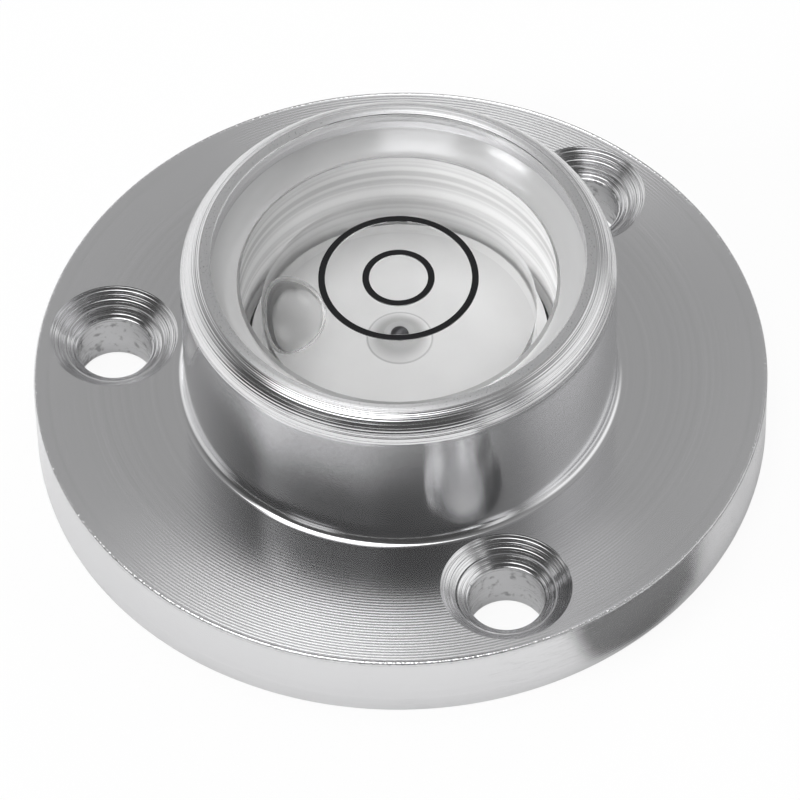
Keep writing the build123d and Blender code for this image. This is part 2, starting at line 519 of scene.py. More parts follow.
def drop_empty_slots(mesh):
    """Keep only the material slots that hold a material."""
    kept = [i for i, material in enumerate(mesh.materials) if material]
    numbers = [kept.index(face.material_index) for face in mesh.polygons]
    materials = [mesh.materials[i] for i in kept]
    mesh.materials.clear()
    for material in materials:
        mesh.materials.append(material)
    mesh.polygons.foreach_set("material_index", numbers)


def tidy_mesh(mesh, sharp=30):
    """Merge doubles, turn the faces outwards, mark the sharp edges and shade level faces flat."""
    work = bmesh.new()
    work.from_mesh(mesh)
    bmesh.ops.remove_doubles(work, verts=work.verts, dist=SAME_PLACE / 10)
    bmesh.ops.triangulate(work, faces=[face for face in work.faces if len(face.verts) > 4])
    bmesh.ops.recalc_face_normals(work, faces=work.faces)
    work.to_mesh(mesh)
    work.free()
    mesh.set_sharp_from_angle(angle=radians(sharp))
    for face in mesh.polygons:
        if abs(face.normal.z) > LEVEL_NORMAL:
            face.use_smooth = False
    return mesh


def turned_mesh(name, points, material, segments=180):
    """A half section turned about the axis."""
    tree = bpy.data.node_groups.get("Lathe") or lathe_tree()
    mesh = evaluated_mesh(chain_mesh(name, points), tree, {"Segments": segments, "Material": material})
    mesh.name = name
    return tidy_mesh(mesh)


def paint_faces(mesh, material, chosen):
    """Give another material to the faces whose middle, as radius and height, is chosen."""
    mesh.materials.append(material)
    number = len(mesh.materials) - 1
    for face in mesh.polygons:
        middle = face.center
        if chosen(sqrt(middle.x**2 + middle.y**2), middle.z):
            face.material_index = number


# Finishes


def new_material(name):
    """An empty node material and its graph."""
    material = bpy.data.materials.new(name)
    material.use_nodes = True
    material.node_tree.nodes.clear()
    return material, Graph(material.node_tree)


def surface(graph, shader):
    """End a material with its surface shader."""
    graph.node("ShaderNodeOutputMaterial", {}, {"Surface": shader})


def axis_distance(graph, position):
    """Distance of a point from the turning axis."""
    flat = graph.node("ShaderNodeVectorMath", {"operation": "MULTIPLY"}, {0: position, 1: (1, 1, 0)})
    return graph.node("ShaderNodeVectorMath", {"operation": "LENGTH"}, {0: flat}, "Value")


def line_noise(graph, along, size, detail=2.0):
    """Noise that changes only along one coordinate."""
    return graph.node(
        "ShaderNodeTexNoise",
        {"noise_dimensions": "1D"},
        {"W": along, "Scale": 1 / size, "Detail": detail, "Roughness": 0.6},
        "Fac",
    )


def cloud_noise(graph, position, size, detail=3.0):
    """Soft noise in space."""
    return graph.node(
        "ShaderNodeTexNoise", {}, {"Vector": position, "Scale": 1 / size, "Detail": detail}, "Fac"
    )


def bumped(graph, height):
    """The surface's normal with a height on it, in metres."""
    return graph.node("ShaderNodeBump", {}, {"Strength": 1.0, "Distance": 1.0, "Height": height})


def mixed(graph, factor, first, second):
    """A colour between two plain ones."""
    return graph.node(
        "ShaderNodeMix", {"data_type": "RGBA"}, {"Factor": factor, "A": (*first, 1), "B": (*second, 1)}
    )


def grey(graph, level):
    """A colour whose three parts are one level."""
    return graph.node("ShaderNodeCombineColor", {}, {0: level, 1: level, 2: level})


def principled(graph, values):
    """The shader that most finishes end in."""
    return graph.node("ShaderNodeBsdfPrincipled", {}, values)


# How far apart the lines of the finishes are, and how large their other marks are
LINE_PITCH = 0.16 * MM
CROWN_PITCH = 0.34 * MM
TONE_PITCH = 0.5 * MM
RING_PITCH = 0.35 * MM
NICK_SIZE = 0.14 * MM
PIT_SIZE = 0.18 * MM
KNOCK_SIZE = 0.30 * MM
SCUFF_SIZE = 0.7 * MM
CHATTER_SIZE = 0.9 * MM
STREAK_SIZE = 1.6 * MM
STREAK_STRETCH = 14
STREAK_FIELD = 9 * MM
PATCH_SIZE = 6 * MM
GLOSS_SIZE = 1.5 * MM
CLOUD_SIZE = 3 * MM
# Height of the bands of painted reflection on the vial's side
REFLECTION_BAND_HEIGHT = 1.8 * MM

# How high they are. Noise swings by about a fifth of this to either side.
LINE_HEIGHT = 1 * MICRON
CROWN_HEIGHT = 80 * MICRON
KNOCK_HEIGHT = 60 * MICRON
RING_HEIGHT = 50 * MICRON
CHATTER_HEIGHT = 12 * MICRON
STREAK_DEPTH = 8 * MICRON
PIT_DEPTH = 2 * MICRON

# Roughness of the polished metal, near the boss, and of the flange further out. A line shows in the
# render where metal passes 0.27, so the flange stays below that everywhere.
POLISHED = 0.07
FLANGE_ROUGHNESS = 0.265
FLANGE_POLISH_END = 18.5 * MM
FLANGE_MATT_START = 27 * MM
MARKS_FULL = 26 * MM

WHITE = (1, 1, 1)
NEAR_WHITE = (0.97, 0.97, 0.97)
PALE_GREY = (0.76, 0.76, 0.76)
MID_GREY = (0.4, 0.4, 0.4)
BLACK = (0, 0, 0)


def turned_aluminium():
    """Bright turned metal: feed marks along the section, finer lines, a lined crown, nicks and streaks."""
    look = bpy.context.scene.bullseye_finishes
    sizes = bpy.context.scene.bullseye_housing
    boss = sizes.boss_radius
    flange = sizes.flange_thickness
    crown_foot = TOTAL_HEIGHT - sizes.crown_radius
    material, graph = new_material("turned aluminium")
    position = graph.node("ShaderNodeTexCoord", {}, {}, "Object")
    radius = axis_distance(graph, position)
    height = position.part("Z")
    along = height - radius

    # Where each kind of mark lies, from 0 to 1
    on_crown = height.ramp(crown_foot, crown_foot + 0.4 * MM)
    on_land = height.ramp(TOTAL_HEIGHT - 0.03 * MM, TOTAL_HEIGHT - 0.01 * MM)
    on_rim = on_crown * radius.ramp(MOUTH_RADIUS + 0.1 * MM, MOUTH_RADIUS + 0.8 * MM, 0.15, 1.0)
    on_boss = radius.ramp(boss + 0.6 * MM, boss + 0.1 * MM)
    on_side = radius.ramp(FLANGE_RADIUS - 0.1 * MM, FLANGE_RADIUS - 0.02 * MM)
    on_edge = radius.ramp(FLANGE_RADIUS - 0.32 * MM, FLANGE_RADIUS - 0.20 * MM)
    on_edge = on_edge * height.ramp(flange - 0.35 * MM, flange - 0.15 * MM)
    outwards = radius.ramp(boss + 1.5 * MM, MARKS_FULL, 0.06, 1.0)

    feed_marks = (along * (2 * pi / look.feed)).cosine() * look.mark_depth * outwards
    fine_lines = line_noise(graph, along, LINE_PITCH) * LINE_HEIGHT
    crown_lines = line_noise(graph, along, CROWN_PITCH, 1.5) * CROWN_HEIGHT * on_rim
    knocks = cloud_noise(graph, position, KNOCK_SIZE, 2.0) * on_edge * KNOCK_HEIGHT
    pits = cloud_noise(graph, position, PIT_SIZE).ramp(0.78, 0.82) * -PIT_DEPTH
    stretched = graph.node(
        "ShaderNodeVectorMath", {"operation": "MULTIPLY"}, {0: position, 1: (1, 1, STREAK_STRETCH)}
    )
    streaks = cloud_noise(graph, stretched, STREAK_SIZE, 2.0).ramp(0.60, 0.68) * on_side
    streaks = streaks * cloud_noise(graph, position, STREAK_FIELD).ramp(0.50, 0.60) * -STREAK_DEPTH
    bump = bumped(graph, feed_marks + fine_lines + crown_lines + pits + knocks + streaks)

    patches = cloud_noise(graph, position, PATCH_SIZE) - 0.5
    roughness = radius.ramp(FLANGE_POLISH_END, FLANGE_MATT_START, POLISHED, FLANGE_ROUGHNESS)
    roughness = roughness + on_boss * 0.09 + on_land * 0.18 + patches * 0.03
    nicks = cloud_noise(graph, position, NICK_SIZE, 2.0).ramp(0.60, 0.70) * on_land
    level = 0.96 + line_noise(graph, along, TONE_PITCH) * 0.08 - nicks * 0.35
    base = graph.node(
        "ShaderNodeMix",
        {"data_type": "RGBA", "blend_type": "MULTIPLY"},
        {"Factor": 1.0, "A": (*look.aluminium, 1), "B": grey(graph, level)},
    )
    metal = principled(
        graph,
        {
            "Base Color": base,
            "Metallic": 1.0,
            "Roughness": roughness,
            "Anisotropic": 0.8,
            "Anisotropic Rotation": 0.25,
            "Normal": bump,
        },
    )
    surface(graph, metal)
    return material


def drilled_aluminium():
    """The walls of the screw holes, with rings about each hole's own axis."""
    look = bpy.context.scene.bullseye_finishes
    holes = bpy.context.scene.bullseye_holes
    material, graph = new_material("drilled aluminium")
    position = graph.node("ShaderNodeTexCoord", {}, {}, "Object")
    nearest = None
    for middle in hole_middles(holes):
        offset = graph.node("ShaderNodeVectorMath", {"operation": "SUBTRACT"}, {0: position, 1: middle})
        distance = axis_distance(graph, offset)
        nearest = distance if nearest is None else nearest.lesser(distance)
    along = position.part("Z") * 1.3 + nearest
    rings = line_noise(graph, along, RING_PITCH) * RING_HEIGHT
    chatter = cloud_noise(graph, position, CHATTER_SIZE) * CHATTER_HEIGHT
    roughness = 0.10 + cloud_noise(graph, position, GLOSS_SIZE) * 0.12
    on_wall = nearest.ramp(holes.hole_radius + 0.15 * MM, holes.hole_radius + 0.05 * MM)
    scuffs = cloud_noise(graph, position, SCUFF_SIZE, 4.0).ramp(0.54, 0.70) * on_wall
    darker = [share * 0.25 for share in look.aluminium]
    metal = principled(
        graph,
        {
            "Base Color": mixed(graph, scuffs * 0.6, look.aluminium, darker),
            "Metallic": 1.0,
            "Roughness": roughness,
            "Normal": bumped(graph, rings + chatter),
        },
    )
    surface(graph, metal)
    return material


def clear_material(name, ratio, roughness=0.0, tint=WHITE, clearness=1.0):
    """A clear surface that bends light by the ratio of its two sides, and casts no hard shadow."""
    material, graph = new_material(name)
    glass = principled(
        graph,
        {"Base Color": (*tint, 1), "Transmission Weight": clearness, "Roughness": roughness, "IOR": ratio},
    )
    in_shadow = graph.node("ShaderNodeLightPath", {}, {}, "Is Shadow Ray")
    through = graph.node("ShaderNodeBsdfTransparent")
    surface(graph, graph.node("ShaderNodeMixShader", {}, {0: in_shadow, 1: glass, 2: through}))
    return material


def plain_material(name, tint, roughness, metallic=0.0, grain=0.3 * MM, depth=MICRON, ratio=1.5):
    """A simple finish with a slight uneven surface and gloss."""
    material, graph = new_material(name)
    position = graph.node("ShaderNodeTexCoord", {}, {}, "Object")
    gloss = roughness + (cloud_noise(graph, position, 4 * grain) - 0.5) * 0.1
    plain = principled(
        graph,
        {
            "Base Color": (*tint, 1),
            "Metallic": metallic,
            "Roughness": gloss,
            "IOR": ratio,
            "Normal": bumped(graph, cloud_noise(graph, position, grain) * depth),
        },
    )
    surface(graph, plain)
    return material


def white_base_material():
    """Pale plastic, partly clear at the filler boss so that the sealant under the ball shows through,
    darker towards its edge as painted shade beside the vial's wall, with a darker ring along the filler
    boss's foot.
    """
    look = bpy.context.scene.bullseye_finishes
    foot = bpy.context.scene.bullseye_vial.filler_foot
    material, graph = new_material("white base")
    position = graph.node("ShaderNodeTexCoord", {}, {}, "Object")
    radius = axis_distance(graph, position)
    # a darker ring along the foot of the filler boss
    outline = radius.ramp(foot - 0.12 * MM, foot) * radius.ramp(foot + 0.14 * MM, foot)
    # painted shade: the base darkens towards its edge, beside the vial's wall
    painted_edge_shade = radius.ramp(6 * MM, 11.2 * MM)
    clouds = cloud_noise(graph, position, CLOUD_SIZE)
    shade = outline * 0.35 + painted_edge_shade * 0.20 + clouds * 0.08
    # the painted shade, the ring and the random clouds darken the base towards the seal's colour
    pale = principled(
        graph, {"Base Color": mixed(graph, shade, look.base, look.seal), "Roughness": 0.4, "IOR": 1.1}
    )
    thin = principled(
        graph,
        {"Base Color": (*look.base, 1), "Roughness": 0.22, "IOR": 1.08, "Transmission Weight": 1.0},
    )
    clearer = radius.ramp(foot + 0.1 * MM, foot - 1.1 * MM, 0.06, 0.5)
    surface(graph, graph.node("ShaderNodeMixShader", {}, {0: clearer, 1: pale, 2: thin}))
    return material


def side_with_painted_reflection():
    """The vial's side: matt white where the clear wall would mirror the pale base, with soft grey bands of
    painted reflection that stand for the housing's bore seen through it, and darker towards the top.
    """
    material, graph = new_material("frosted side")
    position = graph.node("ShaderNodeTexCoord", {}, {}, "Object")
    height = position.part("Z")
    # painted reflection: soft grey bands up the side for the housing's bore seen through it
    painted_bore_reflection = line_noise(graph, height, REFLECTION_BAND_HEIGHT, 1.5).ramp(0.38, 0.64, 0.0, 0.20)
    # darker towards the top, by up to 0.12
    shade = painted_bore_reflection + height.ramp(BASE_TOP, DOME_TOP, 0.0, 0.12)
    tint = mixed(graph, shade, NEAR_WHITE, BLACK)
    surface(graph, principled(graph, {"Base Color": tint, "Roughness": 0.4, "Specular IOR Level": 0.0}))
    return material


# Shapes of this object


def hole_middles(holes):
    """Where the screw holes stand, the first on the -Y side."""
    turns = [-pi / 2 + 2 * pi * i / holes.count for i in range(holes.count)]
    return [(holes.circle_radius * cos(a), holes.circle_radius * sin(a), 0) for a in turns]


def housing_section(sizes):
    """Half section of the housing, from the middle of the bore's floor round the outside."""
    flange = sizes.flange_thickness
    edge = sizes.edge_break
    lip = sizes.mouth_edge
    bore = VIAL_RADIUS + sizes.bore_clearance
    foot = (sizes.boss_radius + sizes.foot_fillet, flange + sizes.foot_fillet)
    land = MOUTH_RADIUS + sizes.land_width
    crown_middle = sizes.boss_radius - sizes.crown_radius
    crown_z = TOTAL_HEIGHT - sqrt(sizes.crown_radius**2 - (land - crown_middle) ** 2)
    crown_end = 90 - degrees(asin((land - crown_middle) / sizes.crown_radius))
    points = [(0, 0)]
    points += arc((FLANGE_RADIUS - edge, edge), edge, -90, 0, 4)
    points += arc((FLANGE_RADIUS - edge, flange - edge), edge, 0, 90, 6)
    points += arc(foot, sizes.foot_fillet, 270, 180, 10)
    points += arc((crown_middle, crown_z), sizes.crown_radius, 0, crown_end, 20)
    points += arc((MOUTH_RADIUS + lip, TOTAL_HEIGHT - lip), lip, 90, 180, 4)
    points += [
        (MOUTH_RADIUS, SHOULDER),
        (bore, SHOULDER),
        (bore, FLOOR_TOP + sizes.bore_corner),
        (bore - sizes.bore_corner, FLOOR_TOP),
        (0, FLOOR_TOP),
    ]
    return held(points)


def hole_section(holes, flange):
    """Half section of the cutter for one screw hole."""
    beyond = 1.0 * MM
    edge = holes.bottom_edge
    ledge = holes.step_radius - holes.step_ledge
    step_z = flange - (holes.sink_radius - holes.step_radius) / tan(holes.sink_angle / 2)
    pilot_z = step_z - (ledge - holes.hole_radius) / tan(holes.pilot_angle / 2)
    return held(
        [
            (0, -beyond),
            (holes.hole_radius + edge, -beyond),
            (holes.hole_radius + edge, 0),
            (holes.hole_radius, edge),
            (holes.hole_radius, pilot_z),
            (ledge, step_z),
            (holes.step_radius, step_z),
            (holes.sink_radius, flange),
            (holes.sink_radius, flange + beyond),
            (0, flange + beyond),
        ]
    )


def dome(radius, lens_edge, sink=0.0):
    """Height of the lens's underside at a radius, less a sink below it."""
    edge_z = VIAL_TOP - lens_edge
    rise = DOME_TOP - edge_z
    sphere = (CAVITY_RADIUS**2 + rise**2) / (2 * rise)
    return DOME_TOP - sphere + sqrt(sphere**2 - radius**2) - sink


def dome_points(lens_edge, radius, sink=0.0, steps=16):
    """Points along the underside of the lens, from a radius in to the axis."""
    reaches = [radius * (1 - i / steps) for i in range(steps + 1)]
    return [(reach, dome(reach, lens_edge, sink)) for reach in reaches]


def cup_section(vial):
    """Half section of the vial cup, with the two ring grooves in its top."""
    points = [(0, VIAL_TOP)]
    for node in ("inner_ring", "outer_ring"):
        outer = radius_of(node)
        bottom = VIAL_TOP - vial.ring_depth
        points += [
            (outer - vial.ring_width, VIAL_TOP),
            (outer - vial.ring_width, bottom),
            (outer, bottom),
            (outer, VIAL_TOP),
        ]
    points += [
        (VIAL_RADIUS - vial.edge_chamfer, VIAL_TOP),
        (VIAL_RADIUS, VIAL_TOP - vial.edge_chamfer),
        (VIAL_RADIUS, SHOULDER),
        (VIAL_RADIUS, FLOOR_TOP + vial.foot_chamfer),
        (VIAL_RADIUS - vial.foot_chamfer, FLOOR_TOP),
        (vial.rebate_radius, FLOOR_TOP),
        (vial.rebate_radius, BASE_TOP),
        (CAVITY_RADIUS, BASE_TOP),
    ]
    return held(points + dome_points(vial.lens_edge, CAVITY_RADIUS))


def ring_section(vial, node):
    """Half section of the paint in one groove, a skin clear of the groove's walls."""
    outer = radius_of(node) - SKIN
    inner = radius_of(node) - vial.ring_width + SKIN
    bottom = VIAL_TOP - vial.ring_depth + SKIN
    crest = VIAL_TOP + SKIN
    rounding = 0.04 * MM
    points = [(inner, bottom), (outer, bottom)]
    points += arc((outer - rounding, crest - rounding), rounding, 0, 90, 3)
    points += arc((inner + rounding, crest - rounding), rounding, 90, 180, 3)
    return points + [(inner, bottom)]


def sealant_section(vial):
    """Half section of the clear sealant, with its hollow meniscus up the mouth."""
    inner_top = Vector((VIAL_RADIUS + SKIN, VIAL_TOP - vial.edge_chamfer))
    outer_top = Vector((MOUTH_RADIUS + SKIN, SEALANT_TOP))
    along = inner_top - outer_top
    aside = Vector((-along.y, along.x)).normalized()
    steps = 16
    meniscus = []
    for i in range(steps + 1):
        share = i / steps
        bow = 4 * share * (1 - share) * vial.meniscus_sag
        point = outer_top + along * share + aside * bow
        meniscus.append((point.x, point.y))
    walls = [(VIAL_RADIUS + SKIN, SHOULDER - SKIN), (MOUTH_RADIUS + SKIN, SHOULDER - SKIN)]
    return [meniscus[-1]] + held([meniscus[-1], *walls, meniscus[0]])[1:-1] + meniscus


def base_section(vial):
    """Half section of the base, with the filler boss, its hole and the counterbore below."""
    button_top = FLOOR_TOP + vial.button_height
    top = BASE_TOP - SKIN
    return held(
        [
            (BALL_RADIUS, button_top),
            (SEAL_RADIUS, button_top),
            (SEAL_RADIUS, FLOOR_TOP),
            (BASE_RADIUS, FLOOR_TOP),
            (BASE_RADIUS, top),
            (vial.filler_foot, top),
            (vial.filler_top, BASE_PEAK),
            (BALL_RADIUS, BASE_PEAK),
            (BALL_RADIUS, button_top),
        ]
    )


def liquid_section(vial):
    """Half section of the liquid, a skin clear of the vial, the base and the ball."""
    gap = 2 * SKIN
    ball_top = arc((0, BASE_PEAK), BALL_RADIUS + gap, 90, 2, 12)
    points = ball_top + [
        (vial.filler_top, BASE_PEAK + gap),
        (vial.filler_foot, BASE_TOP + gap),
        (CAVITY_RADIUS - gap, BASE_TOP + gap),
    ]
    return held(points + dome_points(vial.lens_edge, CAVITY_RADIUS - gap, gap))


def rounded(across, upright, exponent):
    """Factor that puts a point on a rounded square, the squarer the larger the exponent."""
    return (abs(across) ** exponent + abs(upright) ** exponent) ** (-1 / exponent)


def bubble_mesh(name, vial, shrink=0.0):
    """The air: a round cake pressed flat by the dome above it and by the side wall."""
    rings, around = 48, 96
    # How square the bubble is: seen from above, below its middle, and above it
    outline, underside, top = 3.2, 2.1, 2.6
    film = vial.bubble_film
    wall = CAVITY_RADIUS - film
    middle = wall - (vial.bubble_width - vial.bubble_radius)
    half = vial.bubble_height / 2
    verts = []
    for j in range(rings + 1):
        tilt = -pi / 2 + pi * j / rings
        scale = rounded(cos(tilt), sin(tilt), underside if tilt < 0 else top)
        for i in range(around):
            turn = 2 * pi * i / around
            to_wall = -middle * cos(turn) + sqrt(wall**2 - (middle * sin(turn)) ** 2)
            reach = rounded(1 / vial.bubble_radius, 1 / to_wall, outline) - shrink
            flat = reach * abs(cos(tilt)) * scale
            x = middle + flat * cos(turn)
            y = flat * sin(turn)
            ceiling = dome(min(sqrt(x**2 + y**2), CAVITY_RADIUS), vial.lens_edge, film)
            verts.append((x, y, ceiling - half + (half - shrink) * sin(tilt) * scale))
    faces = []
    for j in range(rings):
        for i in range(around):
            a, b = j * around + i, j * around + (i + 1) % around
            faces.append((a, b, b + around, a + around))
    mesh = bpy.data.meshes.new(name)
    mesh.from_pydata(verts, [], faces)
    mesh.transform(Matrix.Rotation(vial.bubble_bearing, 4, "Z"))
    for face in mesh.polygons:
        face.use_smooth = True
    work = bmesh.new()
    work.from_mesh(mesh)
    bmesh.ops.remove_doubles(work, verts=work.verts, dist=SAME_PLACE)
    bmesh.ops.recalc_face_normals(work, faces=work.faces)
    work.to_mesh(mesh)
    work.free()
    return mesh


def joined(name, meshes):
    """Several meshes as one, with their materials."""
    work = bmesh.new()
    result = bpy.data.meshes.new(name)
    for number, mesh in enumerate(meshes):
        before = len(work.faces)
        work.from_mesh(mesh)
        work.faces.ensure_lookup_table()
        for face in work.faces[before:]:
            face.material_index = number
        result.materials.append(mesh.materials[0])
    work.to_mesh(result)
    work.free()
    return result


# Operators


class BULLSEYE_OT_turn_housing(bpy.types.Operator):
    """Turn the flanged housing and cut its screw holes"""

    bl_idname = "bullseye.turn_housing"
    bl_label = "Turn Housing"

    def execute(self, context):
        sizes = context.scene.bullseye_housing
        holes = context.scene.bullseye_holes
        blank = turned_mesh("housing_blank", housing_section(sizes), turned_aluminium(), sizes.segments)
        drilled = drilled_aluminium()
        section = hole_section(holes, sizes.flange_thickness)
        cutter_mesh = turned_mesh("cutter", section, drilled, HOLE_STEPS)
        cutter = bpy.data.objects.new("cutter", cutter_mesh)
        context.scene.collection.objects.link(cutter)
        mesh = evaluated_mesh(
            blank,
            screw_hole_tree(),
            {
                "Cutter": cutter,
                "Count": holes.count,
                "Circle Radius": holes.circle_radius,
                "First Angle": -pi / 2,
                "Finish Radius": holes.sink_radius - SKIN,
                "Finish Top": sizes.flange_thickness - SKIN,
                "Material": drilled,
            },
        )
        bpy.data.objects.remove(cutter)
        finished("turned_housing", tidy_mesh(mesh), ["housing"])
        return {"FINISHED"}


class BULLSEYE_OT_lay_sealant(bpy.types.Operator):
    """Lay the clear sealant between the vial and the mouth"""

    bl_idname = "bullseye.lay_sealant"
    bl_label = "Lay Sealant"

    def execute(self, context):
        vial = context.scene.bullseye_vial
        sealant = clear_material("clear sealant", 1.25, 0.22, PALE_GREY, clearness=0.55)
        hidden = clear_material("sealant against vial", 1.0)
        mesh = turned_mesh("sealant", sealant_section(vial), sealant, VIAL_STEPS)
        edge_foot = VIAL_TOP - vial.edge_chamfer
        paint_faces(mesh, hidden, lambda r, z: r < VIAL_RADIUS + 2 * SKIN and z < edge_foot)
        finished("clear_sealant_ring", mesh, ["sealant_ring"])
        return {"FINISHED"}


class BULLSEYE_OT_mould_vial(bpy.types.Operator):
    """Mould the clear cup with its lens, and the pale base"""

    bl_idname = "bullseye.mould_vial"
    bl_label = "Mould Vial"

    def execute(self, context):
        vial = context.scene.bullseye_vial
        look = context.scene.bullseye_finishes
        acrylic = clear_material("clear acrylic", 1.49)
        mesh = turned_mesh("vial", cup_section(vial), acrylic, VIAL_STEPS)
        against_liquid = clear_material("acrylic against liquid", 1.03)
        in_sealant = clear_material("acrylic in sealant", 1.05)
        # the lens's rim chamfer is tinted mid grey and only partly clear, which darkens the line round the
        # lens's rim
        lens_edge = clear_material("lens edge", 1.3, 0.3, MID_GREY, clearness=0.6)
        bond = plain_material("white bond", [share * 0.8 for share in look.base], 0.5)
        side = VIAL_RADIUS - SKIN
        edge_foot = VIAL_TOP - vial.edge_chamfer
        edge_top = VIAL_TOP - SKIN / 10
        edge_inner = VIAL_RADIUS - vial.edge_chamfer
        cavity = CAVITY_RADIUS + SKIN
        paint_faces(mesh, against_liquid, lambda r, z: r < cavity and BASE_TOP < z < DOME_TOP + SKIN)
        paint_faces(mesh, side_with_painted_reflection(), lambda r, z: r > side and z < SHOULDER)
        paint_faces(mesh, bond, lambda r, z: r < side and z < BASE_TOP + SKIN)
        paint_faces(mesh, lens_edge, lambda r, z: r > edge_inner and edge_foot < z < edge_top)
        paint_faces(mesh, in_sealant, lambda r, z: r > side and SHOULDER < z < edge_foot)
        finished("clear_vial_cup", mesh, ["vial_cup"])
        base = turned_mesh("base", base_section(vial), white_base_material())
        finished("white_vial_base", base, ["vial_base"])
        return {"FINISHED"}


class BULLSEYE_OT_paint_rings(bpy.types.Operator):
    """Fill the two grooves in the lens with black paint"""

    bl_idname = "bullseye.paint_rings"
    bl_label = "Paint Rings"

    def execute(self, context):
        vial = context.scene.bullseye_vial
        look = context.scene.bullseye_finishes
        paint = plain_material("ring paint", look.paint, 0.45, ratio=1.2)
        for node in ("outer_ring", "inner_ring"):
            mesh = turned_mesh(node, ring_section(vial, node), paint, VIAL_STEPS)
            finished("painted_" + node, mesh, [node])
        return {"FINISHED"}


class BULLSEYE_OT_fill_vial(bpy.types.Operator):
    """Fill the vial with clear spirit and leave the air bubble"""

    bl_idname = "bullseye.fill_vial"
    bl_label = "Fill Vial"

    def execute(self, context):
        vial = context.scene.bullseye_vial
        skin = clear_material("spirit against vial", 1.0)
        to_air = clear_material("spirit against air", 1.37, 0.16)
        outside = turned_mesh("spirit", liquid_section(vial), skin)
        void = bubble_mesh("void", vial)
        void.flip_normals()
        void.materials.append(to_air)
        finished("clear_spirit", joined("spirit", [outside, void]), ["liquid"])
        air = bubble_mesh("air", vial, SKIN)
        air.materials.append(clear_material("air", 1.0))
        finished("resting_bubble", air, ["air_bubble"])
        return {"FINISHED"}


class BULLSEYE_OT_close_filler(bpy.types.Operator):
    """Press in the filler ball over its dab of sealant"""

    bl_idname = "bullseye.close_filler"
    bl_label = "Close Filler"

    def execute(self, context):
        vial = context.scene.bullseye_vial
        look = context.scene.bullseye_finishes
        ball = turned_mesh(
            "ball",
            arc((0, BASE_PEAK), BALL_RADIUS - SKIN, -90, 90, 32),
            plain_material("dark steel", look.steel, 0.35, 1.0, 0.1 * MM, 0.2 * MICRON),
            FILLER_STEPS,
        )
        finished("steel_filler_ball", ball, ["filler_ball"])
        button_top = FLOOR_TOP + vial.button_height - SKIN
        seal = turned_mesh(
            "seal",
            held(
                [
                    (0, FLOOR_TOP),
                    (SEAL_RADIUS - SKIN, FLOOR_TOP),
                    (SEAL_RADIUS - SKIN, button_top),
                    (BALL_RADIUS - SKIN, button_top),
                    (BALL_RADIUS - SKIN, SEAL_TOP),
                    (0, SEAL_TOP),
                ]
            ),
            plain_material("filler sealant", look.seal, 0.6),
            FILLER_STEPS,
        )
        finished("grey_filler_seal", seal, ["filler_seal"])
        return {"FINISHED"}


class BULLSEYE_OT_set_stage(bpy.types.Operator):
    """Lay the pale floor, light the studio and place the camera"""

    bl_idname = "bullseye.set_stage"
    bl_label = "Set Stage"

    def execute(self, context):
        studio = context.scene.bullseye_studio
        lay_floor(studio)
        lay_painted_shadow_card(studio)
        light_world(studio)
        hang_lamps(studio)
        place_camera(studio)
        context.scene.view_settings.view_transform = "Standard"
        return {"FINISHED"}


# Stage


def lay_floor(studio):
    """A wide pale floor that the camera sees as white, with the object's faint shadow."""
    reach = 3.0
    below = -0.05 * MM
    mesh = bpy.data.meshes.new("floor")
    corners = ((-reach, -reach), (reach, -reach), (reach, reach), (-reach, reach))
    mesh.from_pydata([(x, y, below) for x, y in corners], [], [(0, 1, 2, 3)])
    floor = bpy.data.objects.new("floor", mesh)
    bpy.context.scene.collection.objects.link(floor)
    material, graph = new_material("floor")
    matt = graph.node("ShaderNodeBsdfDiffuse", {}, {"Color": (*studio.floor_colour, 1)})
    white = graph.node("ShaderNodeEmission", {}, {"Color": (1, 1, 1, 1), "Strength": 1.0})
    camera_ray = graph.node("ShaderNodeLightPath", {}, {}, "Is Camera Ray")
    transmission_ray = graph.node("ShaderNodeLightPath", {}, {}, "Is Transmission Ray")
    seen_white = 0.93
    seen = camera_ray.greater(transmission_ray) * seen_white
    surface(graph, graph.node("ShaderNodeMixShader", {}, {0: seen, 1: matt, 2: white}))
    mesh.materials.append(material)


def lay_painted_shadow_card(studio):
    """A dark card on the floor beside the flange at the front right, which only the metal mirrors: a
    painted shadow of the floor there, paler along the flange.
    """
    height = 0.02 * MM
    fade = 2.5 * MM
    turns = [(radians(azimuth) + studio.heading, reach * MM) for azimuth, reach in SHADOW_CARD_CORNERS]
    verts = [(reach * cos(turn), reach * sin(turn), height) for turn, reach in turns]
    mesh = bpy.data.meshes.new("dark_card")
    mesh.from_pydata(verts, [], [tuple(range(len(verts)))])
    material, graph = new_material("dark card")
    position = graph.node("ShaderNodeTexCoord", {}, {}, "Object")
    inwards = turns[0][0] + pi / 2
    from_edge = position.dot((cos(inwards), sin(inwards), 0))
    # painted shadow: grey 0.70 at the edge along the flange, darkening to 0.17 further out
    tint = grey(graph, from_edge.ramp(0, fade, 0.70, 0.17))
    surface(graph, graph.node("ShaderNodeBsdfDiffuse", {}, {"Color": tint}))
    mesh.materials.append(material)
    card = bpy.data.objects.new("dark_card", mesh)
    bpy.context.scene.collection.objects.link(card)
    card.visible_camera = False
    card.visible_diffuse = False
    card.visible_transmission = False
    card.visible_shadow = False


